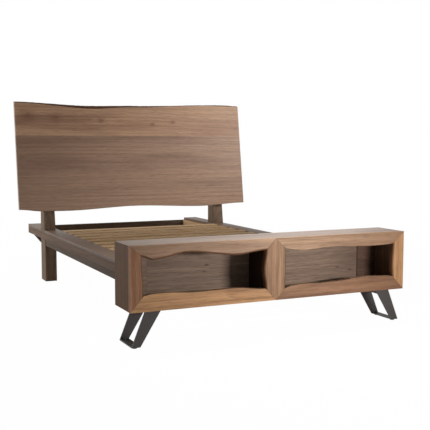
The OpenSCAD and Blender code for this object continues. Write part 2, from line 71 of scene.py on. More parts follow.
class Shader:
    """A material under construction, with short calls for its nodes and links."""

    def __init__(self, name: str) -> None:
        """Start an empty node material.

        Args:
            name: The material's name.
        """
        self.material = bpy.data.materials.new(name)
        self.material.use_nodes = True
        self.tree = self.material.node_tree
        self.surface = self.tree.nodes["Principled BSDF"]
        self.coords = self.tree.nodes.new("ShaderNodeTexCoord").outputs["Object"]

    def node(self, kind: str, inputs: dict | None = None, **settings: object) -> bpy.types.Node:
        """Add a node, set its properties and feed its inputs.

        Args:
            kind: Blender's name for the node, without its ShaderNode prefix.
            inputs: Input name or number to a value or to another node's output.
            settings: Node properties by name.

        Returns:
            The new node.
        """
        made = self.tree.nodes.new("ShaderNode" + kind)
        for name, value in settings.items():
            setattr(made, name, value)
        for name, value in (inputs or {}).items():
            if isinstance(value, bpy.types.NodeSocket):
                self.tree.links.new(value, made.inputs[name])
            else:
                made.inputs[name].default_value = value
        return made

    def placed(self, shift: Vector, scale: tuple[float, float, float], turn: tuple = (0, 0, 0),
               source: bpy.types.NodeSocket | None = None) -> bpy.types.NodeSocket:
        """Object coordinates, shifted, turned and scaled.

        Args:
            shift: How far the pattern is moved, in metres.
            scale: How much the pattern is squeezed along X, Y and Z.
            turn: Rotation of the pattern, in radians.
            source: Coordinates to start from, if not the object's own.

        Returns:
            The placed coordinates.
        """
        moved = self.node("Mapping", {"Vector": source or self.coords, "Location": shift})
        return self.node("Mapping", {"Vector": moved.outputs[0], "Rotation": turn, "Scale": scale}).outputs[0]

    def noise(self, coords: bpy.types.NodeSocket, scale: float, detail: float = 4.0, rough: float = 0.5,
              distortion: float = 0.0) -> bpy.types.NodeSocket:
        """Fractal noise from 0 to 1.

        Args:
            coords: Where the noise is read.
            scale: Cells per unit of the coordinates.
            detail: Octaves.
            rough: Weight of each finer octave.
            distortion: How far the pattern is warped by itself.

        Returns:
            The noise's value.
        """
        inputs = {"Vector": coords, "Scale": scale, "Detail": detail, "Roughness": rough,
                  "Distortion": distortion}
        return self.node("TexNoise", inputs).outputs[0]

    def math(self, how: str, a: object, b: object = 0.0, clamp: bool = False) -> bpy.types.NodeSocket:
        """One arithmetic step.

        Args:
            how: Blender's name for the operation.
            a: First value or socket.
            b: Second value or socket.
            clamp: Whether the result is kept between 0 and 1.

        Returns:
            The result.
        """
        return self.node("Math", {0: a, 1: b}, operation=how, use_clamp=clamp).outputs[0]

    def spread(self, value: bpy.types.NodeSocket, low: float, high: float, to_low: float = 0.0,
               to_high: float = 1.0) -> bpy.types.NodeSocket:
        """A value stretched from one range to another, and kept inside it.

        Args:
            value: The value to stretch.
            low: Start of the range that it comes from.
            high: End of the range that it comes from.
            to_low: What the start becomes.
            to_high: What the end becomes.

        Returns:
            The stretched value.
        """
        made = self.node("MapRange", {0: value, 1: low, 2: high, 3: to_low, 4: to_high}, clamp=True)
        return made.outputs[0]

    def mix(self, share: object, a: object, b: object) -> bpy.types.NodeSocket:
        """Two colours mixed.

        Args:
            share: How much of the second colour shows.
            a: First colour or socket.
            b: Second colour or socket.

        Returns:
            The mixed colour.
        """
        return self.node("Mix", {0: share, 6: a, 7: b}, data_type="RGBA", clamp_result=True).outputs[2]

    def ramp(self, value: bpy.types.NodeSocket, stops: list[tuple[float, tuple]]) -> bpy.types.NodeSocket:
        """A colour ramp.

        Args:
            value: Where on the ramp to read.
            stops: Place and colour of each stop, lowest first.

        Returns:
            The colour.
        """
        made = self.node("ValToRGB", {0: value})
        bar = made.color_ramp.elements
        while len(bar) < len(stops):
            bar.new(0.5)
        for stop, (place, shade) in zip(bar, stops):
            stop.position = place
            stop.color = (*shade, 1.0)
        return made.outputs[0]

    def bump(self, height: bpy.types.NodeSocket, strength: float, depth: float,
             under: bpy.types.NodeSocket | None = None) -> bpy.types.NodeSocket:
        """Surface relief from a height.

        Args:
            height: Height from 0 to 1.
            strength: Share of the relief that shows.
            depth: Height of the relief, in metres.
            under: Relief that this one is laid over.

        Returns:
            The bent normal.
        """
        made = self.node("Bump", {"Height": height, "Strength": strength, "Distance": depth})
        if under is not None:
            self.tree.links.new(under, made.inputs["Normal"])
        return made.outputs[0]

    def finish(self, **sockets: object) -> bpy.types.Material:
        """Feed the surface and hand the material over.

        Args:
            sockets: Principled input, with _ for a space, to a value or to another node's output.

        Returns:
            The finished material.
        """
        for name, value in sockets.items():
            socket = self.surface.inputs[name.replace("_", " ")]
            if isinstance(value, bpy.types.NodeSocket):
                self.tree.links.new(value, socket)
            else:
                socket.default_value = value
        return self.material


# ---------------------------------------------------------------------------------------------------------
# Finishes
# ---------------------------------------------------------------------------------------------------------

# Cells per metre along the grain and, twice, across it.
PATCH_CELLS = (0.8, 8.0, 8.0)
STREAK_CELLS = (0.7, 55.0, 55.0)
PORE_CELLS = (14.0, 420.0, 420.0)
BEND_CELLS = (0.8, 2.0, 2.0)
SAW_CELLS = (1.6, 110.0, 110.0)
FLECK_CELLS = (9.0, 30.0, 30.0)
FLECK_PATCH_CELLS = (3.0, 9.0, 9.0)
# Metres from a board's middle to the tree's heart, and how far the rings are drawn out along the board.
HEART_REACH = 0.20
TREE_TAPER = 0.05
# What turns a board's number into its place in the tree: a step and a reach in metres for X, Y and Z.
TREE_STEPS = ((12.9, 9.0), (7.3, 5.0), (4.1, 5.0))
# How far a whole board leans to its species' light or dark side.
BOARD_LEAN = 0.12
# A board's dark and light tones as shares of its body. Darks turn redder, as in heartwood.
DARK_SHARES = (0.42, 0.34, 0.29)
LIGHT_SHARES = (1.32, 1.3, 1.22)
# The tone of pores, weathering and worm marks, as shares of the board's dark.
PORE_DARK = 0.4
WEATHER_DARK = 0.5
FLECK_DARK = 0.3
# Depth of open pores, in metres.
PORE_DEPTH = 0.0002


def tint(red: int, green: int, blue: int) -> tuple[float, float, float]:
    """A screen colour as the linear one that shaders use.

    Args:
        red: Red from 0 to 255.
        green: Green from 0 to 255.
        blue: Blue from 0 to 255.

    Returns:
        The linear colour.
    """
    def straight(level: int) -> float:
        """One channel made linear."""
        share = level / 255
        return share / 12.92 if share <= 0.04045 else ((share + 0.055) / 1.055) ** 2.4

    return straight(red), straight(green), straight(blue)


@dataclass(frozen=True)
class Knot:
    """A knot in a board: metres along the grain and across it from the board's middle, and its radius."""

    along: float
    across: float
    radius: float


@dataclass(frozen=True)
class WoodFinish:
    """A species and its oil or varnish, from which each board gets its own cut of grain."""

    name: str
    dark: tuple[float, float, float]
    body: tuple[float, float, float]
    light: tuple[float, float, float]
    ring_gap: float = 0.014
    ring_share: float = 0.4
    patch_share: float = 0.55
    streak_share: float = 0.35
    pore_share: float = 0.35
    gloss_rough: float = 0.42
    sheen: float = 0.4
    relief: float = 0.00012
    wander: float = 0.05
    saw_marks: float = 0.0
    flecks: float = 0.0
    # How far the board turns dark towards its start and towards its end, as painted shade on most boards.
    ends: tuple[float, float] = (0.0, 0.0)

    def toned(self, name: str, red: int, green: int, blue: int,
              ends: tuple[float, float] = (0.0, 0.0)) -> "WoodFinish":
        """The same finish on a board of another tone.

        Args:
            name: The tone's name.
            red: Red of the board's body, from 0 to 255.
            green: Its green.
            blue: Its blue.
            ends: How far the board turns dark towards its start and towards its end.

        Returns:
            The finish.
        """
        body = tint(red, green, blue)
        dark = tuple(share * channel for share, channel in zip(DARK_SHARES, body))
        light = tuple(share * channel for share, channel in zip(LIGHT_SHARES, body))
        return replace(self, name=f"{self.name}_{name}", body=body, dark=dark, light=light, ends=ends)

    def board(self, node: str, grain: Grain, knots: tuple[Knot, ...] = ()) -> bpy.types.Material:
        """The finish on one board.

        Args:
            node: The board's node, whose middle the pattern is counted from.
            grain: The way the grain runs.
            knots: The board's knots.

        Returns:
            The board's material.
        """
        shader = Shader(f"{self.name}_{node}")
        turn = {Grain.ACROSS: (0, 0, 0), Grain.ALONG: (0, 0, math.radians(-90)),
                Grain.UPRIGHT: (0, math.radians(90), 0)}[grain]
        low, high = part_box(node)
        middle = Vector((sum(pair) / 2 for pair in zip(low, high)))
        # Coordinates with X along the grain, counted from the board's middle.
        along = shader.placed(-middle, (1, 1, 1), turn)
        number = sum(place * ord(letter) for place, letter in enumerate(node, 1))
        tree = Vector([math.sin(number * step) * reach for step, reach in TREE_STEPS])

        patches = shader.noise(shader.placed(tree, PATCH_CELLS, source=along), 1.0, 4.0, 0.5)
        streaks = shader.noise(shader.placed(tree, STREAK_CELLS, source=along), 1.0, 4.0, 0.6)
        pores = shader.noise(shader.placed(tree, PORE_CELLS, source=along), 1.0, 2.0, 0.5)
        pores = shader.spread(pores, 0.36, 0.48, 1.0, 0.0)
        eyes = self.knot_shade(shader, along, knots)
        rings = self.rings(shader, along, tree, eyes)

        lean = BOARD_LEAN * math.sin(number * 5.1)
        tone = shader.math("ADD", shader.spread(patches, 0.3, 0.7), lean, True)
        dark, light = (*self.dark, 1), (*self.light, 1)
        colour = shader.mix(shader.math("MULTIPLY", tone, self.patch_share), (*self.body, 1), light)
        deep = shader.spread(patches, 0.48, 0.25, 0.0, 0.8 * self.patch_share)
        colour = shader.mix(deep, colour, dark)
        colour = shader.mix(shader.math("MULTIPLY", rings, self.ring_share), colour, dark)
        colour = shader.mix(shader.spread(streaks, 0.56, 0.34, 0.0, self.streak_share), colour, dark)
        colour = shader.mix(shader.spread(streaks, 0.55, 0.75, 0.0, self.streak_share), colour, light)
        # Painted shade on most boards: the colour turns dark towards the board's ends.
        if any(self.ends):
            place = shader.node("SeparateXYZ", {0: along}).outputs[0]
            reach = max(top - bottom for bottom, top in zip(low, high)) / 2
            colour = shader.mix(shader.spread(place, -reach, reach, *self.ends), colour, dark)
        deepest = (*(PORE_DARK * channel for channel in self.dark), 1)
        colour = shader.mix(shader.math("MULTIPLY", pores, self.pore_share), colour, deepest)
        if knots:
            colour = shader.mix(shader.math("MULTIPLY", eyes, 0.85), colour, dark)
        height = shader.math("ADD", shader.math("MULTIPLY", rings, 0.4),
                             shader.math("MULTIPLY", streaks, 0.6))
        if self.saw_marks:
            colour, height = self.rough_sawn(shader, along, colour, height)
        if self.flecks:
            colour = self.worm_flecks(shader, along, colour)
        rough = shader.spread(streaks, 0.3, 0.7, self.gloss_rough - 0.05, self.gloss_rough + 0.08)
        normal = shader.bump(height, 0.55, self.relief)
        normal = shader.bump(shader.math("SUBTRACT", 1.0, pores), 0.35, PORE_DEPTH, normal)
        return shader.finish(Base_Color=colour, Roughness=rough, Specular_IOR_Level=self.sheen, Normal=normal)

    def rings(self, shader: Shader, along: bpy.types.NodeSocket, tree: Vector,
              eyes: bpy.types.NodeSocket | float) -> bpy.types.NodeSocket:
        """Growth rings round a heart that lies off the board, from 0 to 1 at each ring's late wood.

        Args:
            shader: The board's shader.
            along: Coordinates with X along the grain.
            tree: Which part of the tree the board comes from.
            eyes: Where the knots are, which push the rings aside.

        Returns:
            The rings' darkness.
        """
        bend = shader.noise(shader.placed(tree, BEND_CELLS, source=along), 1.0, 3.0, 0.5)
        side = math.sin(tree.x * 3.7)
        middle = Vector((side * 2.0, HEART_REACH * (1.0 + 0.3 * side), HEART_REACH * 0.5 * side))
        heart = shader.placed(middle, (TREE_TAPER, 1, 1), source=along)
        pull = shader.node("VectorMath", {0: heart}, operation="ADD")
        drift = shader.math("MULTIPLY", bend, self.wander)
        shader.tree.links.new(shader.node("CombineXYZ", {1: drift, 2: drift}).outputs[0], pull.inputs[1])
        away = shader.node("VectorMath", {0: pull.outputs[0]}, operation="LENGTH").outputs["Value"]
        away = shader.math("ADD", away, shader.math("MULTIPLY", eyes, 2.5 * self.ring_gap))
        place = shader.math("FRACT", shader.math("DIVIDE", away, self.ring_gap))
        # Late wood darkens slowly, then stops sharply.
        rise = shader.math("POWER", place, 2.2)
        return shader.math("MULTIPLY", rise, shader.spread(place, 0.86, 1.0, 1.0, 0.0))

    @staticmethod
    def knot_shade(shader: Shader, along: bpy.types.NodeSocket,
                   knots: tuple[Knot, ...]) -> bpy.types.NodeSocket | float:
        """1 at the middle of each knot, falling to 0 round it.

        Args:
            shader: The board's shader.
            along: Coordinates with X along the grain.
            knots: The knots.

        Returns:
            The shade.
        """
        shade = 0.0
        for knot in knots:
            near = shader.placed(Vector((-knot.along, 0, -knot.across)),
                                 (0.65 / knot.radius, 0.0, 1.0 / knot.radius), source=along)
            far = shader.node("VectorMath", {0: near}, operation="LENGTH").outputs["Value"]
            eye = shader.math("POWER", shader.spread(far, 0.0, 3.0, 1.0, 0.0), 2.0)
            shade = shader.math("MAXIMUM", shade, eye)
        return shade

    def rough_sawn(self, shader: Shader, along: bpy.types.NodeSocket, colour: bpy.types.NodeSocket,
                   height: bpy.types.NodeSocket) -> tuple[bpy.types.NodeSocket, bpy.types.NodeSocket]:
        """Weathered streaks and saw ridges on an old board.

        Args:
            shader: The board's shader.
            along: Coordinates with X along the grain.
            colour: Colour so far.
            height: Relief so far.

        Returns:
            The new colour and relief.
        """
        ridges = shader.noise(shader.placed(Vector((0.3, 0.1, 0.7)), SAW_CELLS, source=along), 1.0, 5.0, 0.7)
        weather = shader.spread(ridges, 0.38, 0.62, self.saw_marks, 0.0)
        colour = shader.mix(weather, colour, (*(WEATHER_DARK * channel for channel in self.dark), 1))
        return colour, shader.math("ADD", height, shader.math("MULTIPLY", ridges, 1.5))

    def worm_flecks(self, shader: Shader, along: bpy.types.NodeSocket,
                    colour: bpy.types.NodeSocket) -> bpy.types.NodeSocket:
        """Small dark marks, longer along the grain than across it.

        Args:
            shader: The board's shader.
            along: Coordinates with X along the grain.
            colour: Colour so far.

        Returns:
            The new colour.
        """
        cells = shader.placed(Vector((0.2, 0.4, 0.1)), FLECK_CELLS, source=along)
        cells = shader.node("TexVoronoi", {"Vector": cells, "Scale": 1.0})
        spots = shader.spread(cells.outputs["Distance"], 0.10, 0.2, 1.0, 0.0)
        few = shader.placed(Vector((0.6, 0.2, 0.9)), FLECK_PATCH_CELLS, source=along)
        few = shader.spread(shader.noise(few, 1.0), 0.5, 0.6)
        marks = shader.math("MULTIPLY", shader.math("MULTIPLY", spots, few), self.flecks)
        return shader.mix(marks, colour, (*(FLECK_DARK * channel for channel in self.dark), 1))


@dataclass(frozen=True)
class BarkFinish:
    """The dark, flaky inner bark left along a natural edge."""

    pale: tuple[float, float, float] = tint(112, 74, 50)
    dark: tuple[float, float, float] = tint(52, 32, 20)

    def material(self) -> bpy.types.Material:
        """The bark's material."""
        shader = Shader("bark")
        flakes = shader.noise(shader.placed(Vector(), (9.0, 40.0, 60.0)), 1.0, 6.0, 0.7, 0.6)
        colour = shader.ramp(flakes, [(0.35, self.dark), (0.7, self.pale)])
        return shader.finish(Base_Color=colour, Roughness=0.85, Specular_IOR_Level=0.2,
                             Normal=shader.bump(flakes, 0.9, 0.003))


@dataclass(frozen=True)
class SteelFinish:
    """Steel with a darkened or plated skin."""

    name: str
    base: tuple[float, float, float]
    worn: tuple[float, float, float]
    metallic: float
    rough: float

    def material(self) -> bpy.types.Material:
        """The steel's material, with mill streaks, cloudy patina and brighter worn spots."""
        shader = Shader(self.name)
        cloud = shader.noise(shader.placed(Vector((0.4, 0.2, 0.7)), (16.0, 16.0, 16.0)), 1.0, 5.0, 0.6)
        grit = shader.noise(shader.placed(Vector(), (420.0, 420.0, 160.0)), 1.0, 3.0, 0.6)
        wear = shader.spread(cloud, 0.55, 0.75, 0.0, 0.6)
        colour = shader.mix(wear, (*self.base, 1), (*self.worn, 1))
        rough = shader.spread(cloud, 0.3, 0.7, self.rough - 0.06, self.rough + 0.1)
        return shader.finish(Base_Color=colour, Metallic=self.metallic, Roughness=rough,
                             Normal=shader.bump(grit, 0.3, 0.00015))


@dataclass(frozen=True)
class NylonFinish:
    """Moulded black nylon of the floor glides."""

    base: tuple[float, float, float] = tint(28, 27, 27)

    def material(self) -> bpy.types.Material:
        """The nylon's material, with a fine spark-eroded texture and a little floor dust."""
        shader = Shader("nylon")
        grit = shader.noise(shader.placed(Vector(), (900.0, 900.0, 900.0)), 1.0, 2.0, 0.5)
        dust = shader.noise(shader.placed(Vector(), (60.0, 60.0, 60.0)), 1.0, 4.0, 0.6)
        colour = shader.mix(shader.spread(dust, 0.5, 0.8, 0.0, 0.25), (*self.base, 1), (*tint(90, 86, 82), 1))
        return shader.finish(Base_Color=colour, Roughness=0.6, Normal=shader.bump(grit, 0.4, 0.0001))


WALNUT = WoodFinish(
    "walnut", tint(106, 71, 51), tint(170, 133, 106), tint(193, 157, 122),
    patch_share=0.75, ring_share=0.25, sheen=0.25, ends=(0.0, 0.2))
POST_WALNUT = WoodFinish(
    "post_walnut", tint(64, 42, 30), tint(126, 104, 86), tint(144, 122, 102), gloss_rough=0.6, sheen=0.1)
# The side-rail boards turn dark towards the bench, the fascia a little towards the head too: painted shade.
LEDGE_WALNUT = WoodFinish(
    "ledge_walnut", tint(76, 56, 44), tint(126, 103, 87), tint(142, 119, 99),
    gloss_rough=0.46, sheen=0.18, ends=(0.25, 0.0))
RAIL_WALNUT = replace(LEDGE_WALNUT, name="rail_walnut", gloss_rough=0.6, sheen=0.08, ends=(0.25, 0.1))
DARK_WALNUT = WoodFinish(
    "dark_walnut", tint(56, 42, 32), tint(104, 88, 74), tint(118, 100, 82), gloss_rough=0.6, sheen=0.08)
DARK_RAIL = replace(DARK_WALNUT, name="dark_rail", body=tint(107, 90, 75), ends=(0.4, 0.0))
# Lighter and greyer than the ends' walnut: the walnut's colour with a painted reflection of pale bedding.
TOP_WALNUT_PAINTED_SHEEN = WoodFinish(
    "top_walnut_painted_sheen", tint(84, 66, 56), tint(152, 138, 129), tint(166, 150, 138), gloss_rough=0.6, sheen=0.15)
END_WALNUT = WoodFinish(
    "end_walnut", tint(66, 44, 32), tint(122, 94, 74), tint(136, 106, 82), gloss_rough=0.6, sheen=0.08)
HONEY = WoodFinish(
    "honey_acacia", tint(104, 64, 42), tint(170, 130, 96), tint(196, 154, 112), ring_gap=0.02,
    ring_share=0.45, patch_share=1.0, streak_share=0.55, gloss_rough=0.5, sheen=0.14, wander=0.1)
# Front-frame edge faces: painted shade on top rails and stiles, painted light on bottom rails.
RIM_PAINTED_SHADE = HONEY.toned("rim_painted_shade", 108, 76, 54)
RIM_PAINTED_LIGHT = HONEY.toned("rim_painted_light", 176, 142, 114)
BARN = WoodFinish(
    "barn_board", tint(92, 68, 54), tint(141, 116, 97), tint(158, 134, 113),
    gloss_rough=0.7, relief=0.0006, saw_marks=0.35, flecks=0.9, pore_share=0.5)
# The right back board is darker than the barn boards: partly its own tone, partly painted shade.
BACK_WALNUT = WoodFinish(
    "back_walnut", tint(46, 30, 22), tint(90, 64, 50), tint(102, 76, 60), gloss_rough=0.6, sheen=0.2)
# Near-black dividers: painted shade of the cubbies' inner walls.
DIVIDER_PAINTED_SHADE = WoodFinish(
    "umber_panel", tint(30, 20, 14), tint(54, 38, 30), tint(64, 46, 36), gloss_rough=0.7, sheen=0.1)
PINE = WoodFinish(
    "pine", tint(164, 124, 84), tint(205, 170, 126), tint(222, 192, 152),
    ring_gap=0.017, pore_share=0.1, gloss_rough=0.65, sheen=0.2)
SEAM = WoodFinish(
    "seam_shadow", tint(34, 22, 16), tint(58, 38, 28), tint(70, 48, 36), gloss_rough=0.7, sheen=0.2)
GUNMETAL = SteelFinish("gunmetal", tint(50, 44, 41), tint(64, 57, 54), 0.3, 0.55)
ZINC = SteelFinish("zinc", tint(176, 176, 178), tint(206, 206, 206), 1.0, 0.35)


# ---------------------------------------------------------------------------------------------------------
# Shaping
# ---------------------------------------------------------------------------------------------------------


class Workshop:
    """Turns the construction's plain solids into finished pieces."""

    MERGE = 1e-5
    FLAT = math.radians(0.3)
    SHARP = math.radians(25)
    # Cosine of the angle past which two faces are shaded apart.
    LIKENESS = math.cos(math.radians(50))

    @classmethod
    def solid(cls, node: str) -> bmesh.types.BMesh:
        """A merged copy of a node's solid, with flat faces whole again.

        Args:
            node: The node's name.

        Returns:
            The copy.
        """
        shape = bmesh.new()
        shape.from_mesh(frame["nodes"][node].data)
        bmesh.ops.remove_doubles(shape, verts=shape.verts, dist=cls.MERGE)
        bmesh.ops.dissolve_limit(shape, angle_limit=cls.FLAT, verts=shape.verts, edges=shape.edges)
        return shape

    @classmethod
    def soften(cls, shape: bmesh.types.BMesh, width: float, shortest: float, material: int = -1) -> None:
        """Round the long sharp edges.

        Args:
            shape: The shape to work on.
            width: Width of the rounding, in metres.
            shortest: Edges shorter than this stay sharp, in metres.
            material: The roundings' own material slot, or -1 for that of the faces beside them.
        """
        edges = [edge for edge in shape.edges
                 if len(edge.link_faces) == 2 and edge.calc_length() > shortest
                 and edge.calc_face_angle(0.0) > cls.SHARP]
        bmesh.ops.bevel(shape, geom=edges, offset=width, offset_type="OFFSET", affect="EDGES", segments=2,
                        profile=0.5, material=material, clamp_overlap=True)

    @staticmethod
    def piece(name: str, shape: bmesh.types.BMesh, materials: list[bpy.types.Material]) -> bpy.types.Object:
        """An object made of the shape.

        Args:
            name: The piece's name.
            shape: Its shape, which is used up.
            materials: Its materials, in slot order.

        Returns:
            The object.
        """
        mesh = bpy.data.meshes.new(name)
        shape.to_mesh(mesh)
        shape.free()
        for material in materials:
            mesh.materials.append(material)
        mesh.shade_smooth()
        Workshop.evened(mesh)
        made = bpy.data.objects.new(name, mesh)
        bpy.context.scene.collection.objects.link(made)
        return made

    @staticmethod
    def evened(mesh: bpy.types.Mesh) -> None:
        """Weight each corner's normal by face size, so that flat faces stay flat beside a rounded edge.

        Args:
            mesh: The mesh to shade.
        """
        around = [[] for _ in mesh.vertices]
        for face in mesh.polygons:
            for vert in face.vertices:
                around[vert].append(face)
        normals = []
        for face in mesh.polygons:
            for vert in face.vertices:
                alike = (other for other in around[vert] if other.normal.dot(face.normal) > Workshop.LIKENESS)
                normals.append(sum((other.normal * other.area for other in alike), Vector()).normalized())
        mesh.normals_split_custom_set(normals)

    @classmethod
    def dressed(cls, node: str, material: bpy.types.Material, slot: str, width: float = 1.6 * MILLI,
                shortest: float = 12 * MILLI, groove: bpy.types.Material | None = None) -> bpy.types.Object:
        """A node's solid with softened edges and its finish, standing for the node.

        Args:
            node: The node's name.
            material: Its finish.
            slot: The record's material slot.
            width: Width of the rounded edges, in metres.
            shortest: Edges shorter than this stay sharp, in metres.
            groove: The painted shadow on its rounded edges, if they have their own.

        Returns:
            The finished piece.
        """
        shape = cls.solid(node)
        cls.soften(shape, width, shortest, 1 if groove else -1)
        made = cls.piece(f"{node}_piece", shape, [material, groove] if groove else [material])
        cls.stands_for(made, node, slot)
        return made

    @staticmethod
    def stands_for(piece: bpy.types.Object, node: str, slot: str) -> None:
        """Let a piece ride on its node's body and take the node's place.

        Args:
            piece: The piece.
            node: The node that it stands for.
            slot: The record's material slot; not used.
        """
        body = next(name for name, nodes in frame["record"]["behaviour"]["bodies"].items() if node in nodes)
        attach(piece, body)
        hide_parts(node)
        LOG.info("%s stands for %s on %s", piece.name, node, body)

    @staticmethod
    def paint(node: str, material: bpy.types.Material) -> None:
        """Give a carried-over node its finish.

        Args:
            node: The node's name.
            material: Its finish.
        """
        mesh = frame["nodes"][node].data
        mesh.materials.clear()
        mesh.materials.append(material)
        LOG.info("%s keeps its solid and takes %s", node, material.name)


# ---------------------------------------------------------------------------------------------------------
# Sub-assemblies
# ---------------------------------------------------------------------------------------------------------


@dataclass
class Headboard:
    """Three-board slab with a barked upper edge, its battens and its bolts."""

    seam_edge: float = 0.5 * MILLI
    bark_relief: float = 2.5 * MILLI
    lean: float = math.radians(8.5)
    thickness: float = 36 * MILLI
    bark_share: float = 0.7
    behind_share: float = 0.6
    bark_cells: float = 60.0
    bark_cuts: tuple[int, int] = (4, 3)
    bark_step: float = 5 * MILLI
    crest_slope: float = 0.7
    bark_fall: tuple[tuple[float, float], ...] = (
        (0.0, 12), (0.12, 15), (0.31, 29), (0.5, 18), (0.68, 10), (0.8, 8), (0.92, 14), (1.0, 10))
    knots: tuple[Knot, ...] = (
        Knot(-0.90, 0.02, 0.028), Knot(-0.68, 0.01, 0.022), Knot(-0.29, -0.01, 0.014),
        Knot(0.36, -0.02, 0.01), Knot(0.17, -0.04, 0.01))

    def fall(self, share: float) -> float:
        """How far the bark slopes down to the front face.

        Args:
            share: Place across the headboard, from 0 at its left end to 1.

        Returns:
            The fall, in metres.
        """
        for (start, low), (end, high) in zip(self.bark_fall, self.bark_fall[1:]):
            if share <= end:
                step = (share - start) / (end - start)
                return (low + (high - low) * step * step * (3 - 2 * step)) * MILLI
        return self.bark_fall[-1][1] * MILLI

    def build(self) -> None:
        """Make the slab's boards, battens and bolts."""
        self.top_board()
        # Darker than the top board and darker still to the left: partly their tone, partly painted shadow.
        lower = WALNUT.toned("lower", 155, 125, 104, (0.4, 0.0))
        for node in ("headboard_middle_board", "headboard_bottom_board"):
            Workshop.dressed(node, lower.board(node, Grain.ACROSS), "headboard_walnut", self.seam_edge)
        battens = POST_WALNUT.board("headboard_battens", Grain.UPRIGHT)
        Workshop.dressed("headboard_battens", battens, "post_walnut")
        Workshop.paint("headboard_bolts", ZINC.material())

    def top_board(self) -> None:
        """Make the top board, whose sloping natural edge keeps its bark."""
        up = Vector((0, math.sin(self.lean), math.cos(self.lean)))
        forward = Vector((0, -math.cos(self.lean), math.sin(self.lean)))
        shape = Workshop.solid("headboard_top_board")
        front = max(vert.co.dot(forward) for vert in shape.verts)
        left = min(vert.co.x for vert in shape.verts)
        width = max(vert.co.x for vert in shape.verts) - left
        # The ridge that the bark slopes down from, and finer steps along it.
        ridge = forward * (front - self.bark_share * self.thickness)
        crest = [face for face in shape.faces if face.normal.dot(up) > self.crest_slope]
        rim = {edge for face in crest for edge in face.edges}
        bmesh.ops.bisect_plane(shape, geom=crest + list(rim) + shape.verts[:],
                               plane_co=ridge, plane_no=forward)
        behind = front - self.behind_share * self.thickness
        crest = [face for face in shape.faces if face.normal.dot(up) > self.crest_slope
                 and face.calc_center_median().dot(forward) > behind]
        long_edges = {edge for face in crest for edge in face.edges
                      if len({vert.co.dot(forward) > front - MILLI for vert in edge.verts}) == 1}
        for vert in {vert for face in crest for vert in face.verts if vert.co.dot(forward) > front - MILLI}:
            vert.co -= up * self.fall((vert.co.x - left) / width)
        for face in crest:
            face.material_index = 1
        across = list({edge for face in crest for edge in face.edges} - long_edges)
        bmesh.ops.subdivide_edges(shape, edges=across, cuts=self.bark_cuts[0], use_grid_fill=True)
        bark = [face for face in shape.faces if face.material_index == 1]
        lengthwise = list({edge for face in bark for edge in face.edges
                           if abs((edge.verts[0].co - edge.verts[1].co).x) > self.bark_step})
        bmesh.ops.subdivide_edges(shape, edges=lengthwise, cuts=self.bark_cuts[1], use_grid_fill=True)
        for vert in {vert for face in shape.faces if face.material_index == 1 for vert in face.verts}:
            flake = noise.fractal(vert.co * self.bark_cells, 1.0, 2.0, 4)
            vert.co -= (up + forward * 0.4) * abs(flake) * self.bark_relief
        wood = WALNUT.board("headboard_top_board", Grain.ACROSS, knots=self.knots)
        made = Workshop.piece("headboard_top_board_piece", shape, [wood, BarkFinish().material()])
        Workshop.stands_for(made, "headboard_top_board", "headboard_walnut")


@dataclass
class Undercarriage:
    """Posts, side rails, cross rails, bearers, beam and slats."""

    edge: float = 2.0 * MILLI
    fitting_edge: float = 0.6 * MILLI
    fitting_shortest: float = 10 * MILLI
    notch_shortest: float = 30 * MILLI
    slat_shortest: float = 15 * MILLI
    slats: int = 12

    def build(self) -> None:
        """Make the posts, the rails and the deck."""
        for side in ("left", "right"):
            self.board(f"{side}_post", POST_WALNUT, Grain.UPRIGHT, "post_walnut", self.edge,
                       self.notch_shortest)
            self.board(f"{side}_rail_fascia", RAIL_WALNUT, Grain.ALONG, "rail_walnut", self.edge)
            self.board(f"{side}_ledge_board", LEDGE_WALNUT, Grain.ALONG, "rail_walnut", self.edge)
            self.board(f"{side}_rail_lower_board", DARK_RAIL, Grain.ALONG, "rail_dark_walnut", self.edge)
            self.board(f"{side}_slat_bearer", PINE, Grain.ALONG, "support_pine", self.edge,
                       self.notch_shortest)
        self.board("head_cross_rail", PINE, Grain.ACROSS, "support_pine", self.edge)
        self.board("tail_cross_rail", DARK_WALNUT, Grain.ACROSS, "rail_dark_walnut", self.edge)
        self.board("centre_beam", PINE, Grain.ALONG, "support_pine", self.edge, self.notch_shortest)
        self.board("centre_legs", PINE, Grain.UPRIGHT, "support_pine", self.edge, self.notch_shortest)
        for number in range(1, self.slats + 1):
            self.board(f"slat_{number:02d}", PINE, Grain.ACROSS, "support_pine", self.edge,
                       self.slat_shortest)
        gunmetal = GUNMETAL.material()
        for node in ("rail_brackets", "beam_hangers"):
            Workshop.dressed(node, gunmetal, "gunmetal_steel", self.fitting_edge, self.fitting_shortest)
        zinc = ZINC.material()
        for node in ("slat_screws", "bearer_bolts"):
            Workshop.paint(node, zinc)

    @staticmethod
    def board(node: str, wood: WoodFinish, grain: Grain, slot: str, edge: float,
              shortest: float = 12 * MILLI) -> None:
        """Dress one board.

        Args:
            node: The board's node.
            wood: Its finish.
            grain: The way its grain runs.
            slot: The record's material slot.
            edge: Width of its rounded edges, in metres.
            shortest: Edges shorter than this stay sharp, in metres.
        """
        Workshop.dressed(node, wood.board(node, grain), slot, edge, shortest)


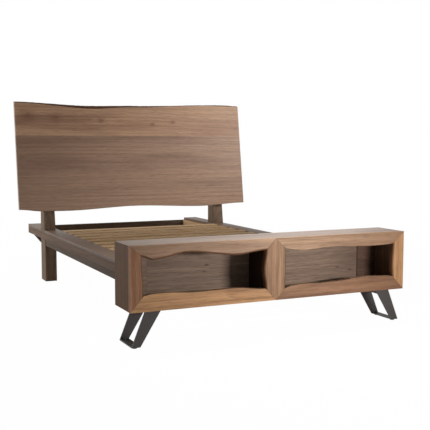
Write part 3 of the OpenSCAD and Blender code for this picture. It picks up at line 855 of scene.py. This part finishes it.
@dataclass
class Bench:
    """Footboard bench: mitred box, back boards, dividers and live-edge front frame."""

    edge: float = 1.0 * MILLI
    live_round: float = 10 * MILLI
    mitre_gap: float = 1.2 * MILLI
    groove_edge: float = 7.0 * MILLI
    board_edge: float = 1.0 * MILLI
    longest_live: float = 60 * MILLI
    front_depth: float = 1 * MILLI
    slant: float = 10 * MILLI
    dark_patch_past_end: float = 0.02
    dark_patch_radius: float = 0.10
    # The fawn rail darkens to its left end and the right-hand rails to their right ends: painted shade.
    # The tones of the centre and right-hand boards are partly painted shade.
    frame_woods: dict[str, tuple[WoodFinish, Grain]] = field(default_factory=lambda: {
        "left_stile": (HONEY.toned("umber", 152, 111, 84), Grain.UPRIGHT),
        "left_top_rail": (HONEY.toned("fawn", 166, 136, 113, (0.5, 0.0)), Grain.ACROSS),
        "left_bottom_rail": (HONEY.toned("honey", 170, 130, 94), Grain.ACROSS),
        "centre_stile": (HONEY.toned("tan", 148, 115, 89), Grain.UPRIGHT),
        "right_top_rail": (HONEY.toned("pale", 163, 133, 108, (0.0, 0.6)), Grain.ACROSS),
        "right_bottom_rail": (HONEY.toned("russet", 135, 101, 78, (0.0, 0.6)), Grain.ACROSS),
        "right_stile": (HONEY.toned("golden", 155, 118, 85), Grain.UPRIGHT)})

    def build(self) -> None:
        """Make the box, the back and the front frame."""
        for node in ("bench_top", "bench_bottom"):
            Workshop.dressed(node, TOP_WALNUT_PAINTED_SHEEN.board(node, Grain.ACROSS), "bench_walnut", self.edge)
        for node in ("bench_left_end", "bench_right_end"):
            Workshop.dressed(node, END_WALNUT.board(node, Grain.UPRIGHT), "bench_walnut", self.edge)
        # The dividers' near-black colour is painted shade.
        for node in ("left_divider", "right_divider"):
            Workshop.dressed(node, DIVIDER_PAINTED_SHADE.board(node, Grain.UPRIGHT), "bench_walnut", self.edge)
        low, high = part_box("bench_back_panel")
        # The panel turns dark at its right end, by the seam.
        heart = Knot((high[0] - low[0]) / 2 + self.dark_patch_past_end, 0.0, self.dark_patch_radius)
        for node, knots in (("bench_back_panel", (heart,)), ("left_back_board", ())):
            Workshop.dressed(node, BARN.board(node, Grain.ACROSS, knots=knots), "back_barn_wood", self.edge)
        # Darker body, partly painted shade, and painted shadow on the rounded edges, seen as the line at the
        # seam.
        darker = BACK_WALNUT.board("right_back_board", Grain.ACROSS)
        groove = SEAM.board("right_back_board", Grain.ACROSS)
        Workshop.dressed("right_back_board", darker, "back_barn_wood", self.groove_edge, groove=groove)
        for node, (wood, grain) in self.frame_woods.items():
            # Top rails and stiles take painted shade on their natural edge, bottom rails painted light.
            rim = RIM_PAINTED_LIGHT if "bottom" in node else RIM_PAINTED_SHADE
            self.frame_board(node, [wood.board(node, grain), SEAM.board(node, grain), rim.board(node, grain)])

    def frame_board(self, node: str, materials: list[bpy.types.Material]) -> None:
        """Make one board of the front frame, with its natural edge rounded and painted shadow lines at its
        mitres.

        Args:
            node: The board's node.
            materials: Its finish, the mitres' painted shadow, and its natural edge's painted shade or light.
        """
        shape = Workshop.solid(node)
        front = min(vert.co.y for vert in shape.verts) + self.front_depth
        live = [edge for edge in shape.edges
                if edge.calc_length() < self.longest_live and all(vert.co.y < front for vert in edge.verts)]
        # Natural-edge side faces and roundings take slot 2: painted shade or painted light.
        for face in {face for edge in live for face in edge.link_faces if abs(face.normal.y) < 0.1}:
            face.material_index = 2
        bmesh.ops.bevel(shape, geom=live, offset=self.live_round, offset_type="OFFSET", affect="EDGES",
                        segments=5, profile=0.5, material=2, clamp_overlap=True)
        slanted = (edge for edge in shape.edges if all(
            abs(edge.verts[0].co[axis] - edge.verts[1].co[axis]) > self.slant for axis in (0, 2)))
        mitres = [edge for edge in slanted
                  if edge.calc_length() > self.longest_live and all(vert.co.y < front for vert in edge.verts)]
        # The mitre grooves take slot 1: painted shadow.
        bmesh.ops.bevel(shape, geom=mitres, offset=self.mitre_gap, offset_type="OFFSET", affect="EDGES",
                        segments=1, profile=0.5, material=1, clamp_overlap=True)
        Workshop.soften(shape, self.board_edge, self.longest_live)
        made = Workshop.piece(f"{node}_piece", shape, materials)
        Workshop.stands_for(made, node, "frame_honey_wood")


@dataclass
class SteelLegs:
    """Tapered steel legs, their bolts and all the floor glides."""

    edge: float = 0.8 * MILLI
    shortest: float = 6 * MILLI
    glide_edge: float = 0.5 * MILLI
    glide_shortest: float = 1 * MILLI

    def build(self) -> None:
        """Make both legs and the glides."""
        gunmetal = GUNMETAL.material()
        for side in ("left", "right"):
            Workshop.dressed(f"{side}_steel_leg", gunmetal, "gunmetal_steel", self.edge, self.shortest)
        Workshop.paint("leg_bolts", ZINC.material())
        nylon = NylonFinish().material()
        for node in frame["nodes"]:
            if node.endswith("_glide"):
                Workshop.dressed(node, nylon, "glide_nylon", self.glide_edge, self.glide_shortest)


# ---------------------------------------------------------------------------------------------------------
# Studio
# ---------------------------------------------------------------------------------------------------------


@dataclass(frozen=True)
class Softbox:
    """One soft rectangular lamp."""

    name: str
    place: tuple[float, float, float]
    aim: tuple[float, float, float]
    size: tuple[float, float]
    watts: float
    spread: float = 180.0

    def hang(self) -> None:
        """Put the lamp up, turned to its aim."""
        lamp = bpy.data.lights.new(self.name, "AREA")
        lamp.shape = "RECTANGLE"
        lamp.size, lamp.size_y = self.size
        lamp.energy = self.watts
        lamp.spread = math.radians(self.spread)
        stand = bpy.data.objects.new(self.name, lamp)
        turn = (Vector(self.aim) - Vector(self.place)).to_track_quat("-Z", "Y")
        stand.matrix_world = Matrix.Translation(self.place) @ turn.to_matrix().to_4x4()
        bpy.context.scene.collection.objects.link(stand)


@dataclass
class Studio:
    """Pale floor, soft light and the camera."""

    camera_place: tuple[float, float, float] = (-2.308, -5.564, 1.116)
    yaw: float = math.radians(25.14)
    pitch: float = math.radians(5.03)
    roll: float = math.radians(0.07)
    lens: float = 67.21
    ambient: float = 0.16
    sight: float = 200.0
    floor_reach: float = 40.0
    floor_shades: tuple[float, float] = (0.80, 0.82)
    floor_glow: float = 0.985
    shadow_fade: tuple[float, float] = (2.5, 6.0)
    lamps: tuple[Softbox, ...] = (
        Softbox("front", (0.95, -3.3, 0.66), (0.1, -1.5, 0.38), (0.5, 0.12), 18, 120),
        Softbox("over", (0.3, -1.0, 2.3), (0.2, -1.4, 0.45), (1.4, 0.6), 13, 80),
        Softbox("side", (2.6, -0.9, 2.2), (0.3, 1.45, 1.1), (1.3, 1.3), 10.3, 58),
        Softbox("rear", (-1.9, 4.2, 2.6), (0.1, 1.5, 0.8), (1.6, 1.2), 45),
        Softbox("fill", (-3.4, 2.2, 1.4), (-0.8, 0.6, 0.5), (1.6, 1.4), 35),
    )

    def build(self) -> None:
        """Set up the camera, the lamps, the surroundings and the floor."""
        self.camera()
        for lamp in self.lamps:
            lamp.hang()
        self.surroundings()
        self.floor()
        bpy.context.scene.view_settings.view_transform = "Standard"

    def camera(self) -> None:
        """Place the camera."""
        lens = bpy.data.cameras.new("camera")
        lens.lens = self.lens
        lens.clip_end = self.sight
        stand = bpy.data.objects.new("camera", lens)
        turn = (Matrix.Rotation(-self.yaw, 4, "Z") @ Matrix.Rotation(math.pi / 2 - self.pitch, 4, "X")
                @ Matrix.Rotation(self.roll, 4, "Z"))
        stand.matrix_world = Matrix.Translation(self.camera_place) @ turn
        bpy.context.scene.collection.objects.link(stand)
        bpy.context.scene.camera = stand

    @staticmethod
    def seen_directly(tree: bpy.types.NodeTree) -> bpy.types.NodeSocket:
        """1 for a ray from the camera, from a mirror or through glass, and 0 for one that carries light.

        Args:
            tree: The node tree to work in.

        Returns:
            The socket.
        """
        path = tree.nodes.new("ShaderNodeLightPath")
        total = path.outputs["Is Camera Ray"]
        for name in ("Is Glossy Ray", "Is Transmission Ray"):
            add = tree.nodes.new("ShaderNodeMath")
            add.operation = "ADD"
            add.use_clamp = True
            tree.links.new(total, add.inputs[0])
            tree.links.new(path.outputs[name], add.inputs[1])
            total = add.outputs[0]
        return total

    def surroundings(self) -> None:
        """White as seen, and a plain soft level as light."""
        world = bpy.data.worlds.new("studio")
        world.use_nodes = True
        bpy.context.scene.world = world
        tree = world.node_tree
        back = tree.nodes["Background"]
        level = tree.nodes.new("ShaderNodeMapRange")
        level.inputs["To Min"].default_value = self.ambient
        level.inputs["To Max"].default_value = 1.0
        tree.links.new(self.seen_directly(tree), level.inputs["Value"])
        tree.links.new(level.outputs["Result"], back.inputs["Strength"])
        back.inputs["Color"].default_value = (1.0, 1.0, 1.0, 1.0)

    def floor(self) -> None:
        """A pale floor that shows the bed's soft shadow."""
        shape = bmesh.new()
        bmesh.ops.create_grid(shape, x_segments=1, y_segments=1, size=self.floor_reach)
        shader = Shader("pale_floor")
        mottle = shader.noise(shader.placed(Vector(), (0.4, 0.4, 0.4)), 1.0)
        pale, paler = ((shade,) * 3 for shade in self.floor_shades)
        paint = shader.ramp(mottle, [(0.3, pale), (0.7, paler)])
        shader.finish(Base_Color=paint, Roughness=0.9)
        tree = shader.tree
        glow = shader.node("Emission", {"Color": (1, 1, 1, 1), "Strength": 1.0})
        # The shadow fades out with distance, so that no line shows where the floor ends.
        away = shader.node("VectorMath", {0: shader.coords}, operation="LENGTH").outputs["Value"]
        fade = shader.spread(away, *self.shadow_fade, self.floor_glow, 1.0)
        share = shader.math("MULTIPLY", self.seen_directly(tree), fade)
        both = shader.node("MixShader", {0: share, 1: shader.surface.outputs[0], 2: glow.outputs[0]})
        tree.links.new(both.outputs[0], tree.nodes["Material Output"].inputs["Surface"])
        made = Workshop.piece("floor", shape, [shader.material])


def main() -> None:
    """Build the bed frame's looks, piece by piece."""
    logging.basicConfig(level=logging.INFO, format="%(message)s")
    Studio().build()
    for assembly in (Headboard(), Undercarriage(), Bench(), SteelLegs()):
        assembly.build()
        LOG.info("%s is done", type(assembly).__name__)


if __name__ == "__main__":
    main()
